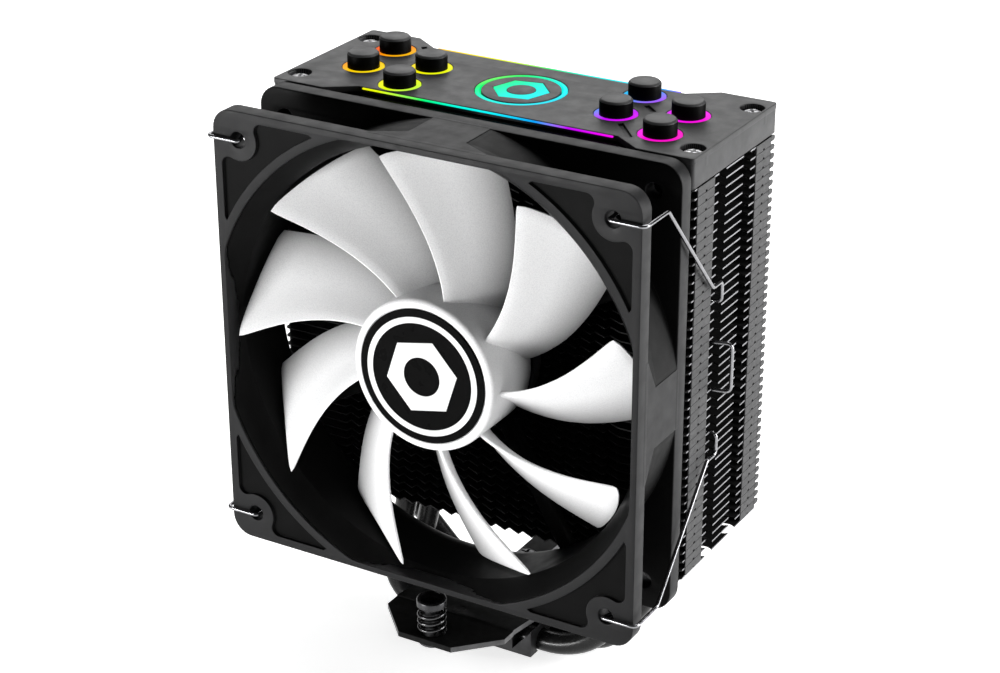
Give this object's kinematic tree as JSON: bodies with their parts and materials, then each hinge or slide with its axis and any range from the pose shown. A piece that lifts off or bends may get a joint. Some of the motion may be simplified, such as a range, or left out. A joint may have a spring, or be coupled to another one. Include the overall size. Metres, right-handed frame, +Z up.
{
  "type": "processor tower cooler",
  "caption": "Tower processor cooler: fin stack on heat pipes, a fan held by wire clips, a lit top cover, and a base block with a sprung mounting bar.",
  "frame": {"origin": "middle of the base block's contact face, where it rests on the processor", "axes": "+Z up the fin stack, +Y the way the fan blows (the fan's face looks along -Y), +X across the fan"},
  "size_m": [0.1298, 0.1011, 0.158],
  "materials": {
    "frame_black": "moulded black plastic, fine matt texture",
    "blade_white": "frosted white plastic",
    "label_black": "smooth black label",
    "cover_black": "satin black plastic",
    "fin_black_coat": "black-coated aluminium",
    "pipe_black_coat": "black-plated copper",
    "block_black_coat": "black-coated, milled",
    "bar_black_paint": "satin black paint",
    "polished_steel": "bright plated steel",
    "spring_steel": "bright spring wire",
    "dark_steel": "dark phosphated steel",
    "bearing_brass": "sintered bronze",
    "magnet_ferrite": "plastic-bonded ferrite",
    "lamination_steel": "stamped steel laminations",
    "copper_wire": "enamelled copper wire",
    "board_green": "green solder mask",
    "diffuser_milky": "milky translucent plastic, lit from below"
  },
  "bodies": {
    "cooler": {"bar_screw_front": "polished_steel", "bar_screw_rear": "polished_steel", "base_block": "block_black_coat", "cover_carrier": "cover_black", "cover_screw_1": "polished_steel", "cover_screw_2": "polished_steel", "cover_screw_3": "polished_steel", "cover_screw_4": "polished_steel", "emblem_disc": "cover_black", "fan_frame": "frame_black", "fin_stack": "fin_black_coat", "heat_pipe_1": "pipe_black_coat", "heat_pipe_2": "pipe_black_coat", "heat_pipe_3": "pipe_black_coat", "heat_pipe_4": "pipe_black_coat", "light_circuit_board": "board_green", "light_diffuser": "diffuser_milky", "motor_circuit_board": "board_green", "motor_rear_label": "label_black", "mounting_bar": "bar_black_paint", "pipe_cap_1": "cover_black", "pipe_cap_2": "cover_black", "pipe_cap_3": "cover_black", "pipe_cap_4": "cover_black", "pipe_cap_5": "cover_black", "pipe_cap_6": "cover_black", "pipe_cap_7": "cover_black", "pipe_cap_8": "cover_black", "screw_spring_front": "spring_steel", "screw_spring_rear": "spring_steel", "shaft_bearing": "bearing_brass", "stator_coil_1": "copper_wire", "stator_coil_2": "copper_wire", "stator_coil_3": "copper_wire", "stator_coil_4": "copper_wire", "stator_core": "lamination_steel", "top_cover": "cover_black"},
    "rotor": {"fan_rotor": "blade_white", "hub_badge": "label_black", "rotor_yoke": "dark_steel", "rotor_magnet": "magnet_ferrite", "rotor_shaft": "polished_steel", "shaft_snap_ring": "dark_steel"},
    "left_clip": {"fan_clip_left": "polished_steel"},
    "right_clip": {"fan_clip_right": "polished_steel"},
    "front_keeper": {"retaining_ring_front": "dark_steel"},
    "front_screw": {"spring_screw_front": "polished_steel"},
    "rear_keeper": {"retaining_ring_rear": "dark_steel"},
    "rear_screw": {"spring_screw_rear": "polished_steel"}
  },
  "joints": [
    {"name": "fan_spin", "type": "hinge", "parent": "cooler", "child": "rotor", "pos_m": [0, -0.0495, 0.094], "axis": [0, 1, 0], "continuous": true},
    {"name": "left_clip_swing", "type": "hinge", "parent": "cooler", "child": "left_clip", "pos_m": [-0.0523, -0.0506, 0.094], "axis": [0, 0, 1], "range_deg": [0, 15]},
    {"name": "right_clip_swing", "type": "hinge", "parent": "cooler", "child": "right_clip", "pos_m": [0.0523, -0.0506, 0.094], "axis": [0, 0, -1], "range_deg": [0, 15]},
    {"name": "front_screw_press", "type": "slide", "parent": "cooler", "child": "front_keeper", "axis": [0, 0, -1], "range_m": [0, 0.0025], "stiffness_N_per_m": 1000, "deforming": ["screw_spring_front"]},
    {"name": "front_screw_turn", "type": "hinge", "parent": "front_keeper", "child": "front_screw", "pos_m": [0, -0.0462, 0.0174], "axis": [0, 0, 1], "continuous": true},
    {"name": "rear_screw_press", "type": "slide", "parent": "cooler", "child": "rear_keeper", "axis": [0, 0, -1], "range_m": [0, 0.0025], "stiffness_N_per_m": 1000, "deforming": ["screw_spring_rear"]},
    {"name": "rear_screw_turn", "type": "hinge", "parent": "rear_keeper", "child": "rear_screw", "pos_m": [0, 0.0462, 0.0174], "axis": [0, 0, 1], "continuous": true}
  ]
}
